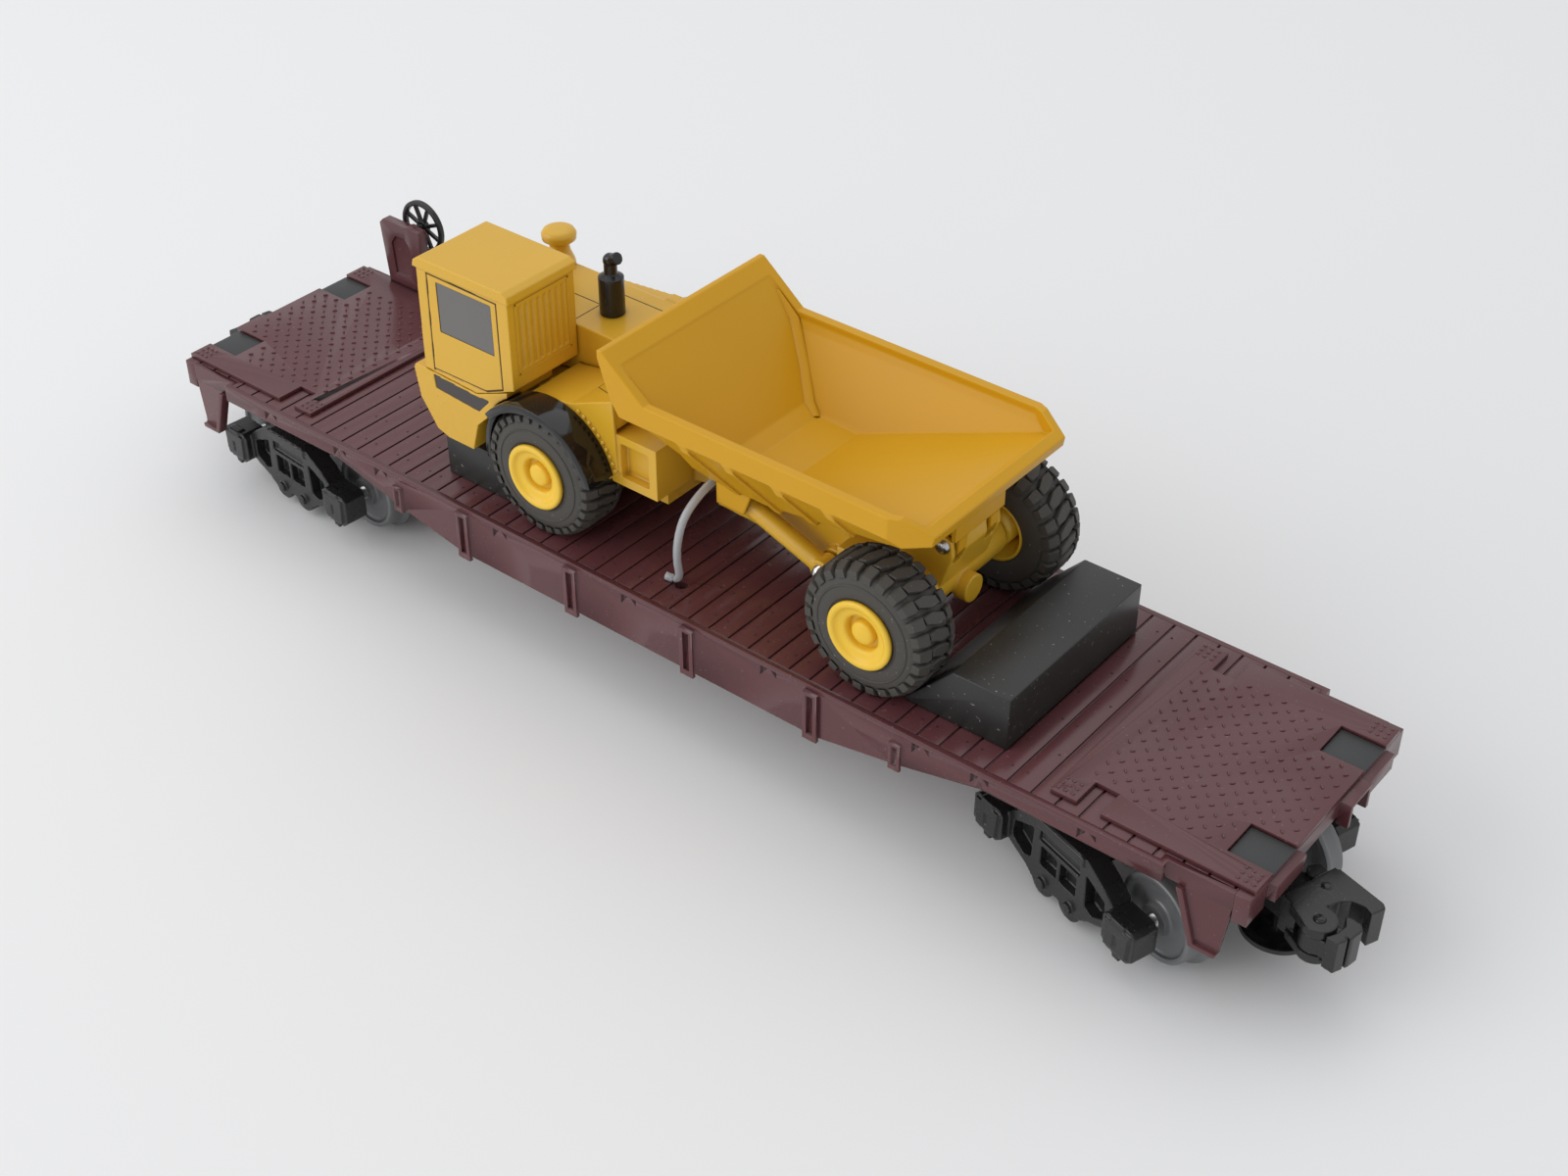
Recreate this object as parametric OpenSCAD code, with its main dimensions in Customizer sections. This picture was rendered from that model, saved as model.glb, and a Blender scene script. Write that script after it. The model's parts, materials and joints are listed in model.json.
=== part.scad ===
/* [Deck] */
// Length of the car over its end faces
deck_l = 280; // [276:1:284]
// Width over the side sills
deck_w = 61; // [60:0.5:62]
// Height of the tread plates above the wheel flanges
deck_top = 32; // [31.5:0.25:32.5]
// Thickness of the raised tread plates at both ends
plate_t = 1; // [0.8:0.1:1.2]
// Thickness of the planked floor
plank_t = 3; // [2.6:0.2:3]
// Pitch of the planks along the car
plank_pitch = 5.05; // [4.5:0.05:5.5]
// Length of the narrow part at each end of the car
narrow_l = 16; // [14:1:18]
// Depth of the side sills in the middle of the car
sill_drop = 12.2; // [11:0.2:13]

/* [Bogies] */
// Distance from the middle of the car to each kingpin
kingpin_x = 108.5; // [108:0.5:109]
// Distance between the two axles of a bogie
wheelbase = 37.9; // [37:0.1:38.5]
// Turn of the bogie at the coupler end that points to +X
yaw_right = -18; // [-19:0.5:0]
// Turn of the bogie at the brake end
yaw_left = -4.8; // [-8:0.2:0]
// Radius over the wheel flanges
flange_r = 10.6; // [10.4:0.1:10.6]
// Radius of the wheel tread
tread_r = 9.2; // [9:0.1:9.4]
// Half of the distance between the backs of the two wheels
wheel_back = 13.75; // [13.5:0.05:14]
// Half of the width over the journal boxes
journal_y = 28.3; // [28:0.1:28.5]

/* [Load] */
// Place of the front axle of the dump truck
front_axle_x = -27.2; // [-27.5:0.1:-27]
// Place of the rear axle of the dump truck
rear_axle_x = 55.5; // [55:0.1:55.5]
// Radius of the dump truck's tyres
tyre_r = 14.4; // [14.2:0.1:14.4]
// Distance from the middle to the outer wall of the tyres
tyre_y = 27; // [26.5:0.1:27]
// Width of the tyres
tyre_w = 11.5; // [11:0.1:11.5]
// Height of the rails of the dump bed
rail_z = 72; // [71.5:0.1:72.5]

/* [Hidden] */
$fn = 48;

maroon = "#4b1f28";
satin_black = "#1c1c1e";
cast_black = "#242426";
wheel_grey = "#6e7072";
yellow = "#e0a526";

plank_z = deck_top - plate_t;
deck_under = plank_z - plank_t;
half_l = deck_l / 2;
half_w = deck_w / 2;
narrow_w = half_w - 1.75;
narrow_x = half_l - narrow_l;
sill_web = 1.2;
end_t = 3;
run = 0.06;
bore_gap = 0.1;

// prism of an X-Z outline between two Y planes
module side_prism(pts, y0, y1) {
    translate([0, y1, 0]) rotate([90, 0, 0]) linear_extrude(y1 - y0) polygon(pts);
}

// prism of a Y-Z outline between two X planes
module cross_prism(pts, x0, x1) {
    translate([x0, 0, 0]) rotate([90, 0, 90]) linear_extrude(x1 - x0) polygon(pts);
}

// box from its low corner to its high corner
module block(lo, hi) { translate(lo) cube(hi - lo); }

// round bar along Y
module bar_y(x, z, r, y0, y1) {
    translate([x, y1, z]) rotate([90, 0, 0]) cylinder(r = r, h = y1 - y0);
}

// the shape and its mirror image across the middle plane of the car
module both_sides() {
    children();
    mirror([0, 1, 0]) children();
}

// ---------------------------------------------------------------- car body

// the floor: planks with a groove between neighbours, between the sills
strap_x = 6.8;
strap_y = 21.9;
strap_r = 0.85;
groove_w = 0.45;
groove_d = 0.4;
floor_w = half_w - sill_web;
planks_each_way = floor((half_l - end_t) / plank_pitch);
module deck() color(maroon) difference() {
    union() {
        block([-narrow_x + sill_web, -floor_w, deck_under], [narrow_x - sill_web, floor_w, plank_z]);
        block([-half_l + end_t, -narrow_w + sill_web, deck_under],
              [half_l - end_t, narrow_w - sill_web, plank_z]);
    }
    for (i = [-planks_each_way : planks_each_way])
        translate([i * plank_pitch - groove_w / 2, -half_w, plank_z - groove_d])
            cube([groove_w, deck_w, 1]);
    for (s = [-1, 1]) translate([strap_x, s * strap_y, deck_under - 1])
        cylinder(r = strap_r + 0.5, h = plank_t + 2);
}

// raised tread plate of one end, with the edge notches and the pad recesses
plate_in = 98.5;
plate_w = 27;
notch_x = [104, 109];
notch_y = 20.5;
pad_x = 131;
pad_y = [12.5, 21.2];
module tread_plate(s) color(maroon) scale([s, 1, 1]) difference() {
    union() {
        block([plate_in, -plate_w, plank_z], [half_l, plate_w, deck_top]);
        for (y = [-1, 1]) for (x = [plate_in + 2.2, half_l - 4.2]) for (i = [0 : 2]) for (j = [0 : 2])
            translate([x + i * 1.5 - (x < pad_x ? 1.2 : 0), y * (plate_w - 1.1 - j * 1.5), deck_top - 0.1])
                cylinder(r = 0.32, h = 0.35, $fn = 16);
    }
    for (y = [-1, 1]) {
        translate([0, min(y * notch_y, y * half_w), 0])
            block([notch_x[0], 0, plank_z - 1], [notch_x[1], half_w - notch_y, deck_top + 1]);
        translate([0, min(y * pad_y[0], y * pad_y[1]), 0])
            block([pad_x, 0, plank_z - 1], [half_l + 1, pad_y[1] - pad_y[0], deck_top + 1]);
    }
}

// fishbelly side sill: web, turned-in foot, stake ribs, small pockets, narrow ends
sill_low = plank_z - sill_drop;
sill_end = deck_under - 1;
belly = [48, 67, 86];
sill_mid = deck_top - 9.6;
small_rib_x = 67;
rib_x = [15.8, 47];
pocket_x = [0, 36.2, 72.4, 85.6, 108.5];
belly_right = [[narrow_x, sill_end], [belly[2], sill_end], [belly[1], sill_mid], [belly[0], sill_low]];
belly_line = concat(belly_right, [for (i = [3 : -1 : 0]) [-belly_right[i][0], belly_right[i][1]]]);
// ledge that follows the lower edge of the web
foot_t = 1.1;
foot_w = 3;
module sill_foot() {
    raised = [for (i = [len(belly_line) - 1 : -1 : 0])
        [belly_line[i][0], min(belly_line[i][1] + foot_t, deck_under)]];
    side_prism(concat(belly_line, raised), -floor_w - 0.2, -floor_w + foot_w);
}
module stake_rib(x, z0, z1, w, t) {
    block([x - w / 2, -half_w - t, z0], [x + w / 2, -half_w + 0.01, z1]);
}
module side_sill() color(maroon) difference() {
    union() {
        side_prism(concat(belly_line, [[-narrow_x, plank_z], [narrow_x, plank_z]]), -half_w, -floor_w);
        sill_foot();
        for (s = [-1, 1]) {
            for (x = rib_x) stake_rib(s * x, sill_low - 0.8, plank_z - 1.4, 3.4, 0.8);
            stake_rib(s * small_rib_x, sill_mid - 0.9, sill_mid + 5.4, 2.6, 0.7);
            translate([min(s * narrow_x, s * (half_l - end_t)), -narrow_w, sill_end])
                cube([narrow_l - end_t, sill_web, plank_z - sill_end]);
            translate([min(s * narrow_x, s * (narrow_x - sill_web)), -half_w, sill_end])
                cube([sill_web, half_w - narrow_w + sill_web, plank_z - sill_end]);
        }
    }
    for (s = [-1, 1]) {
        for (x = rib_x)
            block([s * x - 0.8, -half_w - 1, sill_low + 0.6], [s * x + 0.8, -half_w - 0.05, plank_z - 2.2]);
        block([s * small_rib_x - 0.6, -half_w - 1, sill_mid + 0.3],
              [s * small_rib_x + 0.6, -half_w - 0.05, sill_mid + 4.6]);
        for (x = pocket_x) if (x > 0 || s > 0) {
            side_prism([[s * x - 1.9, plank_z - 1.3], [s * x - 0.1, plank_z - 1.3],
                        [s * x - 1.9, plank_z - 3.6]], -half_w - 1, -half_w + 0.7);
            side_prism([[s * x + 0.8, plank_z - 1.3], [s * x + 2.1, plank_z - 1.3],
                        [s * x + 2.1, plank_z - 2.7]], -half_w - 1, -half_w + 0.7);
        }
    }
}

// end beam with corner posts, the boxes behind the pads and the uncoupling-lever bracket
end_low = 24.7;
module end_beam(s) color(maroon) rotate([0, 0, s > 0 ? 0 : 180]) difference() {
    union() {
        block([half_l - end_t, -narrow_w, deck_under - 1], [half_l, narrow_w, plank_z]);
        for (y = [-narrow_w, pad_y[1] + 1.4])
            block([half_l - end_t, y, end_low], [half_l, y + narrow_w - pad_y[1] - 1.4, plank_z]);
        for (y = [-pad_y[1] - 0.9, pad_y[0] - 0.9])
            block([half_l - 0.01, y, deck_under - 1.4], [half_l + 1.6, y + 10.5, plank_z - 0.7]);
        block([half_l - 0.01, 3.4, deck_under - 2.4], [half_l + 2.4, 11.4, plank_z]);
    }
    block([half_l + 0.7, 4.4, deck_under - 3], [half_l + 3, 10.4, plank_z - 0.8]);
    block([half_l - end_t - 1, -16, deck_under - 2], [half_l + 1, -13.6, deck_under - 0.2]);
}

// stirrup steps under the narrow ends: a plate below the sill with a raised edge and a tread
step_x = [126.5, 136.9];
step_toe = [130.4, 135.6];
step_z = 15;
step_edge = 0.9;
module corner_step() {
    side_prism([[step_x[0], sill_end], step_toe_low(0), step_toe_low(1), [step_x[1], sill_end]],
               -narrow_w, -narrow_w + sill_web);
    side_prism([[step_x[0], sill_end], step_toe_low(0), step_toe_low(1),
                [step_toe[1] + 0.2, step_z + step_edge], [step_toe[0] + step_edge, step_z + step_edge],
                [step_x[0] + step_edge + 0.4, sill_end]], -narrow_w - 1.1, -narrow_w + 0.01);
}
function step_toe_low(i) = [step_toe[i], step_z];
module corner_steps() color(maroon)
    for (a = [0, 1]) mirror([a, 0, 0]) both_sides() corner_step();

// soft pads that lie in the four recesses of the tread plates
pad_t = 0.35;
module corner_pads() color("#4e5252")
    for (a = [0, 1]) mirror([a, 0, 0]) both_sides()
        block([pad_x + 0.1, pad_y[0] + 0.1, plank_z], [half_l, pad_y[1] - 0.1, plank_z + pad_t]);

// box-shaped backbone between the bogies, notched where the tie strap crosses
sill_x = 70;
sill_y = 6.5;
module centre_sill() color(maroon) difference() {
    block([-sill_x, -sill_y, 20.5], [sill_x, sill_y, deck_under]);
    block([-sill_x + 6, -sill_y + 1.4, 19], [sill_x - 6, sill_y - 1.4, deck_under - 1.5]);
    block([strap_x - 1.6, -sill_y - 1, deck_under - 3.8], [strap_x + 1.6, sill_y + 1, deck_under + 1]);
}

// cross members that carry the body on the kingpins
centre_plate_z = 24.4;
kingpin_r = 1.9;
module body_bolsters() color(maroon) for (s = [-1, 1]) difference() {
    union() {
        block([s * kingpin_x - 4.5, -narrow_w + 3, deck_under - 2.2],
              [s * kingpin_x + 4.5, narrow_w - 3, deck_under]);
        translate([s * kingpin_x, 0, centre_plate_z]) cylinder(r = 8, h = deck_under - centre_plate_z);
    }
    translate([s * kingpin_x, 0, centre_plate_z - 1]) cylinder(r = kingpin_r, h = 10);
}

// shouldered screws that the bogies turn on
bolster_z = [13.2, 21.6];
module kingpins() color("silver") for (s = [-1, 1]) translate([s * kingpin_x, 0, 0]) difference() {
    union() {
        translate([0, 0, bolster_z[0] - 0.15]) cylinder(r = kingpin_r, h = deck_under - bolster_z[0] + 0.15);
        translate([0, 0, bolster_z[0] - 1.6]) cylinder(r = 3.6, h = 1.5);
    }
    for (a = [0, 90]) rotate([0, 0, a]) translate([-1.8, -0.35, bolster_z[0] - 2]) cube([3.6, 0.7, 1.1]);
}

// panel that carries the hand brake, at the left end behind the plate's far edge
stand_x = [-131, -117];
stand_y = [26.2, 28.7];
stand_h = 16.6;
hand_z = 47.3;
hand_x = -121;
module brake_stand() color(maroon) difference() {
    union() {
        side_prism([[stand_x[0] + 1.6, deck_top], [stand_x[0], deck_top + stand_h - 1.2],
                    [stand_x[0] + 1.2, deck_top + stand_h], [stand_x[1] - 0.6, deck_top + stand_h],
                    [stand_x[1], deck_top + stand_h - 1], [stand_x[1] - 1, deck_top]],
                   stand_y[0], stand_y[1]);
        block([stand_x[0] + 1.6, plate_w, plank_z], [stand_x[1] - 1, stand_y[1], deck_top + 0.01]);
        bar_y(hand_x, hand_z, 1.8, stand_y[0], stand_y[1]);
    }
    side_prism([[stand_x[0] + 4.2, deck_top + 3], [stand_x[0] + 3.6, deck_top + 11],
                [stand_x[0] + 5.2, deck_top + 13.2], [stand_x[1] - 5.6, deck_top + 13.2],
                [stand_x[1] - 4, deck_top + 11], [stand_x[1] - 4.4, deck_top + 3]],
               stand_y[0] - 1, stand_y[0] + 0.5);
    bar_y(hand_x, hand_z, 0.8, stand_y[0] + 0.8, stand_y[1] + 1);
}

// hand brake: rim, eight spokes and hub on a short shaft
hand_r = 6.7;
hand_y = 31.2;
module brake_wheel() color(satin_black) translate([hand_x, hand_y, hand_z]) rotate([-90, 0, 0]) {
    difference() {
        translate([0, 0, -0.55]) cylinder(r = hand_r, h = 1.1);
        translate([0, 0, -1]) cylinder(r = hand_r - 1.2, h = 2);
    }
    translate([0, 0, -0.7]) cylinder(r = 1.7, h = 1.4);
    for (i = [0 : 7]) rotate([0, 0, i * 45 + 22.5])
        translate([1.2, -0.45, -0.4]) cube([hand_r - 1.9, 0.9, 0.8]);
    translate([0, 0, stand_y[0] + 0.9 - hand_y]) cylinder(r = 0.8 - run, h = hand_y - stand_y[0] - 0.9);
}

// wedge blocks that hold the truck's wheels: a ramp from the foot to the crest, then a flat top to the back
chock_y = 22.5;
module wheel_chock(foot, crest, back, top_z) color(satin_black) difference() {
    side_prism([[foot, plank_z], [foot, plank_z + 0.6], [crest, top_z], [back, top_z], [back, plank_z]],
               -chock_y, chock_y);
    inner_back = back - sign(back) * 1.8;
    side_prism([[foot * 0.55 + crest * 0.45, plank_z - 1], [crest, top_z - 2.6],
                [inner_back, top_z - 2.6], [inner_back, plank_z - 1]], -chock_y + 2, chock_y - 2);
}
module wheel_chock_rear() wheel_chock(62.9, 73.2, 86.1, plank_z + 11.7);
module wheel_chock_front() wheel_chock(-35, -45, -58.8, plank_z + 10.2);

// clear tie: up through the deck, over the truck's frame, down the far side and back under the deck
strap_top = [[0, -4], [0, 0], [0.1, 3], [0.5, 7], [1.1, 12], [1.7, 17], [2, 20]];
strap_side = [-21.9, -21.9, -22.5, -23.4, -23.8, -22.6, -19.4];
strap_over = 52.9;
strap_under = 25.6;
function rise(i, s) = [strap_x + strap_top[i][0], s * -strap_side[i], plank_z + strap_top[i][1]];
strap_route = concat(
    [[strap_x - 3.6, -strap_y - 0.5, plank_z + 1], [strap_x - 1.4, -strap_y - 0.1, plank_z + 0.95]],
    [for (i = [2 : 6]) rise(i, -1)],
    [for (y = [-14 : 7 : 14]) [strap_x + 2.1, y, strap_over]],
    [for (i = [6 : -1 : 0]) rise(i, 1)],
    [[strap_x, strap_y - 2, strap_under], [strap_x, 0, strap_under], [strap_x, -strap_y + 2, strap_under],
     [strap_x, -strap_y, strap_under + 1.6], [strap_x, -strap_y, plank_z - 2]]
);
// one point of a smooth curve through the route
function spline(p, i, t) = let (
    n = len(p), a = p[max(i - 1, 0)], b = p[i], c = p[min(i + 1, n - 1)], d = p[min(i + 2, n - 1)])
    0.5 * (2 * b + (c - a) * t + (2 * a - 5 * b + 4 * c - d) * t * t + (3 * b - a - 3 * c + d) * t * t * t);
strap_steps = 3;
strap_line = concat(
    [for (i = [0 : len(strap_route) - 2]) for (k = [0 : strap_steps - 1])
        spline(strap_route, i, k / strap_steps)],
    [strap_route[len(strap_route) - 1]]);
function unit(v) = v / norm(v);
function heading(p, i) = unit(p[min(i + 1, len(p) - 1)] - p[max(i - 1, 0)]);
strap_sides = 8;
module tube(path, r, sides) {
    n = len(path);
    rings = [for (i = [0 : n - 1]) let (
        t = heading(path, i), u = unit(cross(t, [1, 0, 0.2])), v = cross(t, u))
        for (k = [0 : sides - 1]) path[i] + r * (cos(k * 360 / sides) * u + sin(k * 360 / sides) * v)];
    walls = [for (i = [0 : n - 2]) for (k = [0 : sides - 1])
        [i * sides + k, i * sides + (k + 1) % sides, (i + 1) * sides + (k + 1) % sides, (i + 1) * sides + k]];
    ends = [[for (k = [sides - 1 : -1 : 0]) k], [for (k = [0 : sides - 1]) (n - 1) * sides + k]];
    polyhedron(rings, concat(walls, ends), convexity = 6);
}
module tie_strap() color("#dfe4e6") tube(strap_line, strap_r, strap_sides);

// ---------------------------------------------------------------- bogies and couplers

// a bogie's own frame: X towards the coupler, Z up from the wheel flanges
module at_bogie(s) {
    translate([s * kingpin_x, 0, 0]) rotate([0, 0, s > 0 ? yaw_right : 180 + yaw_left]) children();
}
axle_z = flange_r;
axle_r = 1.5;
frame_y = 21.4;
coupler_pivot = 26.5;
arm_z = [bolster_z[0], 15.3];
pivot_r = 1.5;
module bogie_frame(s) color(cast_black) at_bogie(s) difference() {
    union() {
        block([-6.5, -frame_y, bolster_z[0] + 1.6], [6.5, frame_y, bolster_z[1]]);
        block([-6.5, -8.5, bolster_z[0]], [6.5, 8.5, bolster_z[1]]);
        translate([0, 0, bolster_z[0]]) cylinder(r = 7, h = centre_plate_z - 0.1 - bolster_z[0]);
        block([0, -4, arm_z[0]], [coupler_pivot, 4, arm_z[1]]);
        translate([coupler_pivot, 0, arm_z[0]]) cylinder(r = 2.6, h = arm_z[1] - arm_z[0]);
        translate([coupler_pivot, 0, arm_z[0]]) cylinder(r = pivot_r, h = 7.8);
        translate([coupler_pivot, 0, 20.6]) cylinder(r = 2.4, h = 0.8);
    }
    translate([0, 0, bolster_z[0] - 1]) cylinder(r = kingpin_r + bore_gap, h = 20);
    block([coupler_pivot - 4, 2.62, arm_z[0] - 1], [coupler_pivot + 4, 5, arm_z[1] + 0.02]);
    block([coupler_pivot - 4, -5, arm_z[0] - 1], [coupler_pivot + 4, -2.62, arm_z[1] + 0.02]);
}

// cast sideframe: arched chord, two blind triangles, a two-pane window, spring seats, journal boxes
axle_x = wheelbase / 2;
face_y = 26;
box_half = 4.3;
journal_z = [6.4, 14.4];
module sideframe_plate() difference() {
    union() {
        side_prism([[-15, 14.2], [-12.5, 16.4], [-7.6, 19.4], [-6, 19.8], [6, 19.8], [7.6, 19.4],
                    [12.5, 16.4], [15, 14.2], [15.2, 8.2], [13.4, 7.2], [9.2, 5.4], [7.2, 3.9],
                    [-7.2, 3.9], [-9.2, 5.4], [-13.4, 7.2], [-15.2, 8.2]], frame_y, face_y);
        for (x = [-3.9, 3.9]) {
            bar_y(x, 4.7, 3.1, frame_y + 1, face_y);
            bar_y(x, 4.7, 1.2, frame_y + 1, face_y + 0.9);
        }
        block([-7, face_y - 0.01, 17.4], [7, face_y + 0.5, 19.5]);
    }
    for (x = [-1, 1]) {
        side_prism([[x * 7.6, 15.9], [x * 13.1, 13.4], [x * 13.4, 9.4], [x * 10, 7.4], [x * 7.9, 8.2]],
                   face_y - 2.6, face_y + 1);
        side_prism([[x * 0.5, 13.1], [x * 5.1, 13.1], [x * 5.1, 8.4], [x * 0.5, 8.4]],
                   face_y - 1.8, face_y + 1);
    }
    side_prism([[-5.6, 16.7], [5.6, 16.7], [5.9, 14.1], [-5.9, 14.1]], face_y - 0.8, face_y + 1);
}
module journal_box() difference() {
    union() {
        side_prism([[-box_half, journal_z[1] - 1], [-box_half + 1.2, journal_z[1]],
                    [box_half - 1.2, journal_z[1]], [box_half, journal_z[1] - 1],
                    [box_half, journal_z[0] + 1.4], [box_half - 1.6, journal_z[0]],
                    [-box_half + 1.6, journal_z[0]], [-box_half, journal_z[0] + 1.4]],
                   frame_y + 0.6, journal_y - 0.6);
        side_prism([[-3.4, 13.6], [3.4, 13.6], [3, 7.4], [-3, 7.4]], journal_y - 0.7, journal_y);
        block([-1, journal_y - 1.6, journal_z[0] - 1], [1, journal_y - 0.6, journal_z[0] + 1]);
        block([-1.8, journal_y - 2.2, 13], [1.8, journal_y - 0.2, 14.7]);
    }
    block([-0.5, journal_y - 0.3, 8.6], [0.5, journal_y + 1, 11.6]);
}
module sideframe(s, y) color(cast_black) at_bogie(s) mirror([0, y > 0 ? 0 : 1, 0]) difference() {
    union() {
        sideframe_plate();
        for (x = [-1, 1]) translate([x * axle_x, 0, 0]) journal_box();
    }
    for (x = [-1, 1]) bar_y(x * axle_x, axle_z, axle_r + run, frame_y - 1, journal_y - 3);
}

// wheelset: x is +1 for the axle nearer the coupler, -1 for the inner one
module axle(s, x) color("silver") at_bogie(s)
    bar_y(x * axle_x, axle_z, axle_r, -journal_y + 3.3, journal_y - 3.3);
wheel_face = 19;
wheel_profile = [
    [axle_r, wheel_back + 0.3], [3.2, wheel_back + 0.3], [3.6, wheel_back + 0.9], [7, wheel_back + 0.9],
    [7.4, wheel_back], [flange_r - 0.35, wheel_back], [flange_r, wheel_back + 0.5],
    [flange_r - 0.2, wheel_back + 0.95], [tread_r + 0.35, wheel_back + 1.35],
    [tread_r + 0.1, wheel_back + 1.8],
    [tread_r - 0.1, wheel_face - 0.3], [tread_r - 0.4, wheel_face], [8, wheel_face], [7.7, wheel_face - 0.8],
    [5, wheel_face - 1.3], [3.4, wheel_face - 1], [3.1, wheel_face + 0.3], [axle_r, wheel_face + 0.3]
];
module wheels(s, x) color(wheel_grey) at_bogie(s) translate([x * axle_x, 0, axle_z])
    for (a = [-90, 90]) rotate([a, 0, 0]) rotate_extrude($fn = 96) polygon(wheel_profile);

// coupler head on its shank: rear eye, guard arm, and two lugs that hold the knuckle
shank_z = [15.4, 20.5];
head_z = [14, 22];
knuckle_at = [42.4, -3.2];
lug_r = 3.3;
lug_t = 1.9;
stem_x = 31.2;
stem_r = 1.1;
guard_arm = [
    [35.4, 8.6], [45.8, 8.9], [46.9, 8.2], [46.6, 5.2], [44.6, 5.6], [42.4, 4.6], [41.2, 2.6], [40.9, 0.4],
    [38.4, -1], [35.4, -1]
];
module coupler(s) color(cast_black) at_bogie(s) difference() {
    union() {
        translate([coupler_pivot, 0, shank_z[0]]) cylinder(r = 4.2, h = shank_z[1] - shank_z[0]);
        block([coupler_pivot, -3.9, shank_z[0]], [36, 3.9, shank_z[1]]);
        translate([0, 0, head_z[0]]) linear_extrude(head_z[1] - head_z[0]) polygon(guard_arm);
        block([34.6, -4.6, head_z[0]], [38.4, 8.2, head_z[1]]);
        for (z = [head_z[0], head_z[1] - lug_t]) {
            translate([knuckle_at[0], knuckle_at[1], z]) cylinder(r = lug_r, h = lug_t);
            translate([0, 0, z]) linear_extrude(lug_t)
                polygon([[37, -5.2], [knuckle_at[0], knuckle_at[1] - lug_r + 0.05],
                         [knuckle_at[0] + 0.3, -0.3], [37.2, 0.7]]);
        }
        translate([33.4, 5, head_z[1] - 2.6]) cylinder(r = 1.9, h = 2.4);
        translate([37.4, 3.4, head_z[1] - 0.1]) cylinder(r = 0.7, h = 0.5);
    }
    translate([coupler_pivot, 0, 10]) cylinder(r = pivot_r + run, h = 20);
    translate([stem_x, 0, 10]) cylinder(r = stem_r + run, h = 20);
    translate([knuckle_at[0], knuckle_at[1], head_z[0] + lug_t])
        cylinder(r = lug_r + 0.5, h = head_z[1] - head_z[0] - 2 * lug_t);
    translate([knuckle_at[0], knuckle_at[1], 10]) cylinder(r = 1, h = 20);
}

// knuckle: hub between the lugs and a full-height nose that closes the jaw
knuckle_gap = 0.12;
hub_r = 3.1;
knuckle_nose = [
    [45.9, -5.0], [48.3, -4.6], [48.7, -1.2], [48.4, 1.2], [47.2, 2.2], [45.2, 1.9], [44.2, 1.3],
    [45.9, -0.4], [46.3, -2.8]
];
module knuckle(s) color(cast_black) at_bogie(s) difference() {
    union() {
        translate([knuckle_at[0], knuckle_at[1], head_z[0] + lug_t + knuckle_gap])
            cylinder(r = hub_r, h = head_z[1] - head_z[0] - 2 * (lug_t + knuckle_gap));
        translate([0, 0, head_z[0] + lug_t + knuckle_gap])
            linear_extrude(head_z[1] - head_z[0] - 2 * (lug_t + knuckle_gap))
                polygon([[42.6, -5.8], [47, -4.6], [47, 1], [44.4, 0], [42.4, -0.4]]);
        translate([0, 0, head_z[0] + 0.3]) linear_extrude(head_z[1] - head_z[0] - 0.6) polygon(knuckle_nose);
    }
    translate([knuckle_at[0], knuckle_at[1], 10]) cylinder(r = 1 + run, h = 20);
    block([47.9, -2.4, 10], [50, -1.9, 30]);
}
module knuckle_pin(s) color("silver") at_bogie(s) translate([knuckle_at[0], knuckle_at[1], head_z[0] - 0.4]) {
    cylinder(r = 1, h = head_z[1] - head_z[0] + 0.6);
    cylinder(r = 1.6, h = 0.4);
}

// round plate on a stem under the shank that unlatches the knuckle when it is pulled down
disc_z = 8.2;
disc_r = 7.2;
module uncoupling_disc(s) color(satin_black) at_bogie(s) translate([stem_x, 0, 0]) {
    translate([0, 0, disc_z]) rotate_extrude($fn = 64)
        polygon([[0, 0], [disc_r - 1, 0], [disc_r, 0.5], [disc_r, 1.5], [disc_r - 0.7, 1.5],
                 [disc_r - 1.3, 0.9], [0, 0.9]]);
    translate([0, 0, disc_z + 0.4]) cylinder(r = stem_r, h = shank_z[1] - disc_z - 0.5);
}

// ---------------------------------------------------------------- dump truck

wheel_z = plank_z + tyre_r + 0.1;
truck_axle_r = 1.8;
fender_r = [15.1, 16.5];
arch_r = 16.6;
// room over the tyres under the cowl
well_r = 15;

// front half: belly between the wheels, nose with bumper, inner arches, side boxes and hitch fork
belly_y = 14.6;
arch_y = [20.4, 21.2];
hood_y = [-5.9, 15.7];
hood_low_y = 13.2;
nose_y = 25.2;
hitch_x = 0.6;
hitch_r = 2.2;
cowl = [[-34, 60], [-22, 62.2], [-10.5, 67.2], [-10, 51]];
ramp = [[-33.9, 58.8], [-33.9, 60], [-22, 62.2], [-10.5, 67.2], [-10.5, 60.1], [-21.8, 60.1]];
nose = [[-62.9, 57.9], [-63.4, 56.8], [-62.2, 50], [-58, 43.8], [-55, 42.8], [-47.4, 42.8],
        [-45.4, 49.6], [-38.2, 56.4], [-36, 59], [-36, 60.9], [-40, 59.3], [-45, 57.3], [-60, 57.9]];
far_deck = [[-60, 57.8], [-60.4, 59.4], [-34, 62], [-34, 60.4], [-38, 57.6], [-45, 57.2]];
belt = [[-57.2, 54], [-44.8, 53.1], [-41.2, 57], [-45, 56.7], [-57.6, 57.3]];
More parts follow.
